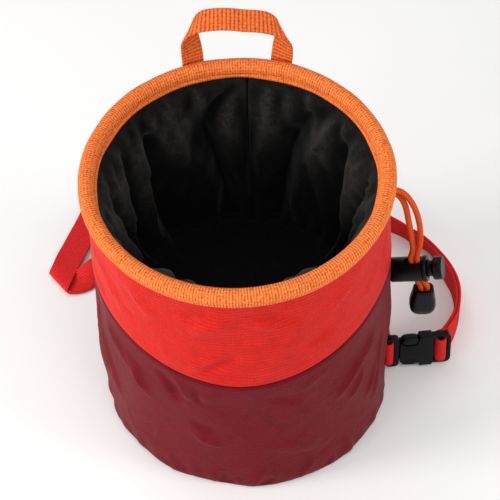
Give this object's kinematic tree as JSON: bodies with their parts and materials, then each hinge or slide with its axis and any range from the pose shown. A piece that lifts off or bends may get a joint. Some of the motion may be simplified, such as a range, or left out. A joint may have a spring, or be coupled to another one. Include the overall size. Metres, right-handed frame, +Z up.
{
  "type": "chalk bag",
  "caption": "Round cloth chalk bag with a folded fleece lining, bound rim, hang loop, drawcord with spring lock and end piece, and a waist belt closed by a side-release buckle.",
  "frame": {"origin": "on the floor under the middle of the round base", "axes": "+Z up through the mouth, -Y towards the front, +X towards the buckle and the cord lock"},
  "size_m": [0.2048, 0.2, 0.1711],
  "materials": {
    "maroon_nylon": "matte woven",
    "red_nylon": "matte woven",
    "orange_tape": "ribbed tape",
    "black_fleece": "soft pile",
    "red_webbing": "ribbed webbing",
    "orange_cord": "braided",
    "black_plastic": "satin"
  },
  "bodies": {
    "bag": {"base_panel": "maroon_nylon", "lower_panel": "maroon_nylon", "upper_panel": "red_nylon", "rim_binding": "orange_tape", "fleece_lining": "black_fleece", "hang_loop": "orange_tape", "waist_belt": "red_webbing", "belt_keeper": "red_webbing", "buckle_female": "black_plastic", "buckle_male": "black_plastic", "cord_lock_barrel": "black_plastic", "drawcord_outer": "orange_cord", "drawcord_inner": "orange_cord", "cord_end": "black_plastic"},
    "plunger": {"cord_lock_plunger": "black_plastic"}
  },
  "joints": [
    {"name": "lock_plunger_slide", "type": "slide", "parent": "bag", "child": "plunger", "axis": [0.9583, -0.1551, 0.2401], "range_m": [-0.0024, 0], "stiffness_N_per_m": 800, "springref_m": 0.003}
  ]
}
